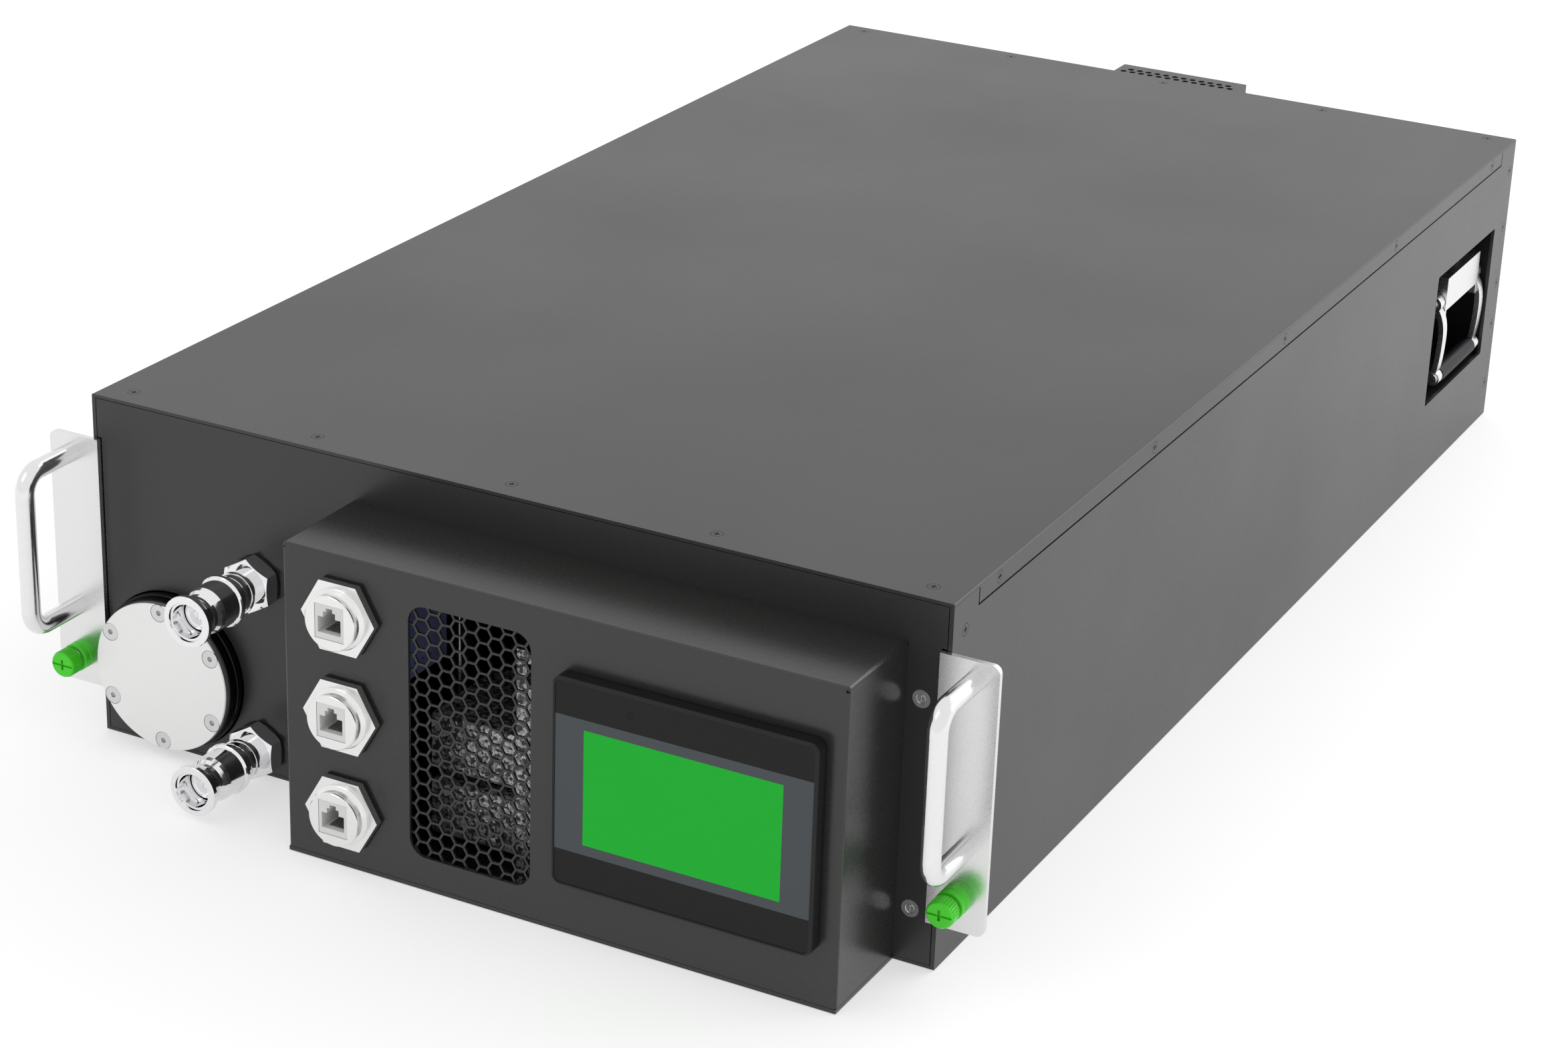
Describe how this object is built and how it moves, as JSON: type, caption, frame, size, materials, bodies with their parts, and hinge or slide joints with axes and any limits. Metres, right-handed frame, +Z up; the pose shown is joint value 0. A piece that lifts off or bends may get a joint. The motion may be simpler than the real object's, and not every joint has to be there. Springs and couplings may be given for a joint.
{
  "type": "rack liquid cooling unit",
  "caption": "Black 4U rack liquid-cooling unit with control module, mesh grille, touch panel, network sockets, chrome fluid couplings, rack ears with bar handles and green thumbscrews.",
  "frame": {"origin": "centre of the chassis underside", "axes": "+Z up, +Y towards the rear of the unit, +X to the right seen from the front"},
  "size_m": [0.4932, 0.9003, 0.1746],
  "materials": {
    "chassis_paint": "fine-textured black powder coat, satin",
    "module_paint": "fine-textured black powder coat, satin",
    "ear_steel": "satin bright zinc",
    "handle_chrome": "polished",
    "coupling_chrome": "polished nickel-chrome",
    "silver_plate": "satin anodised",
    "satin_metal": "satin nickel",
    "screw_black": "black oxide",
    "screw_steel": "bright steel",
    "green_plastic": "semi-gloss green",
    "black_plastic": "smooth black",
    "overlay_black": "satin film with a grey printed window band",
    "jack_grey": "light grey insert",
    "navy_plastic": "navy case",
    "recess_black": "black, matt",
    "screen_green": "lit screen",
    "black_rubber": "matte",
    "black_anodised": "black anodised",
    "gold_contacts": "gold plated",
    "grille_paint": "black powder coat",
    "navy_rubber": "matte",
    "inner_steel": "bright",
    "pump_paint": "dark cast body",
    "tank_plastic": "translucent white",
    "filter_mesh": "woven",
    "pcb_green": "solder mask",
    "psu_metal": "galvanised"
  },
  "bodies": {
    "chassis": {"bottom_tray": "chassis_paint", "side_panel_left": "chassis_paint", "side_panel_right": "chassis_paint", "rear_panel": "chassis_paint", "front_panel": "chassis_paint", "top_cover": "chassis_paint", "chassis_screws": "screw_black", "module_housing": "module_paint", "module_base_plate": "module_paint", "grille_mesh": "grille_paint", "display_bezel": "black_plastic", "display_overlay": "overlay_black", "display_screen": "screen_green", "display_gasket": "black_rubber", "display_rear_case": "black_plastic", "network_couplers": "satin_metal", "network_jacks": "jack_grey", "network_nuts": "satin_metal", "network_switch": "navy_plastic", "network_gaskets": "black_rubber", "network_contacts": "gold_contacts", "filter_housing": "black_anodised", "filter_cover": "silver_plate", "filter_cover_screws": "screw_steel", "filter_element": "filter_mesh", "rack_ears": "ear_steel", "rack_handles": "handle_chrome", "front_screws": "screw_steel", "thumb_ferrules": "green_plastic", "coupling_bases": "coupling_chrome", "coupling_noses": "coupling_chrome", "coupling_washers": "black_rubber", "handle_recesses": "recess_black", "bail_brackets": "ear_steel", "bail_pins": "screw_steel", "rear_guard": "chassis_paint", "fan_frame": "black_plastic", "rear_ports": "inner_steel", "power_inlets": "black_plastic", "heat_exchanger": "inner_steel", "reservoir": "tank_plastic", "pump_housings": "pump_paint", "coolant_pipes": "inner_steel", "power_supplies": "psu_metal", "control_board": "pcb_green"},
    "thumb_carrier_left": {"thumb_ring_left": "screw_steel"},
    "thumb_screw_left": {"thumb_knob_left": "green_plastic", "thumb_shank_left": "screw_steel"},
    "thumb_carrier_right": {"thumb_ring_right": "screw_steel"},
    "thumb_screw_right": {"thumb_knob_right": "green_plastic", "thumb_shank_right": "screw_steel"},
    "poppet_upper": {"coupling_poppet_upper": "coupling_chrome"},
    "poppet_lower": {"coupling_poppet_lower": "coupling_chrome"},
    "carry_bail_left": {"bail_left": "ear_steel", "bail_grip_left": "navy_rubber"},
    "carry_bail_right": {"bail_right": "ear_steel", "bail_grip_right": "navy_rubber"},
    "fan_wheel": {"fan_rotor": "black_plastic"},
    "impeller_left": {"pump_impeller_left": "black_plastic"},
    "impeller_right": {"pump_impeller_right": "black_plastic"}
  },
  "joints": [
    {"name": "thumb_slide_left", "type": "slide", "parent": "chassis", "child": "thumb_carrier_left", "axis": [0, -1, 0], "range_m": [0, 0.007]},
    {"name": "thumb_spin_left", "type": "hinge", "parent": "thumb_carrier_left", "child": "thumb_screw_left", "pos_m": [-0.23255, -0.4027, 0.0395], "axis": [0, -1, 0], "continuous": true},
    {"name": "thumb_slide_right", "type": "slide", "parent": "chassis", "child": "thumb_carrier_right", "axis": [0, -1, 0], "range_m": [0, 0.007]},
    {"name": "thumb_spin_right", "type": "hinge", "parent": "thumb_carrier_right", "child": "thumb_screw_right", "pos_m": [0.23255, -0.4027, 0.0395], "axis": [0, -1, 0], "continuous": true},
    {"name": "poppet_upper_slide", "type": "slide", "parent": "chassis", "child": "poppet_upper", "axis": [0, 1, 0], "range_m": [0, 0.005], "stiffness_N_per_m": 1500, "springref_m": -0.004},
    {"name": "poppet_lower_slide", "type": "slide", "parent": "chassis", "child": "poppet_lower", "axis": [0, 1, 0], "range_m": [0, 0.005], "stiffness_N_per_m": 1500, "springref_m": -0.004},
    {"name": "carry_bail_left_swing", "type": "hinge", "parent": "chassis", "child": "carry_bail_left", "pos_m": [-0.2135, 0.32625, 0.099], "axis": [0, 1, 0], "range_deg": [0, 90]},
    {"name": "carry_bail_right_swing", "type": "hinge", "parent": "chassis", "child": "carry_bail_right", "pos_m": [0.2135, 0.32625, 0.099], "axis": [0, -1, 0], "range_deg": [0, 90]},
    {"name": "fan_spin", "type": "hinge", "parent": "chassis", "child": "fan_wheel", "pos_m": [-0.0085, 0.4085, 0.1222], "axis": [0, 1, 0], "continuous": true},
    {"name": "impeller_left_spin", "type": "hinge", "parent": "chassis", "child": "impeller_left", "pos_m": [0.04, 0.0985, 0.062], "axis": [0, 1, 0], "continuous": true},
    {"name": "impeller_right_spin", "type": "hinge", "parent": "chassis", "child": "impeller_right", "pos_m": [0.15, 0.0985, 0.062], "axis": [0, 1, 0], "continuous": true}
  ]
}
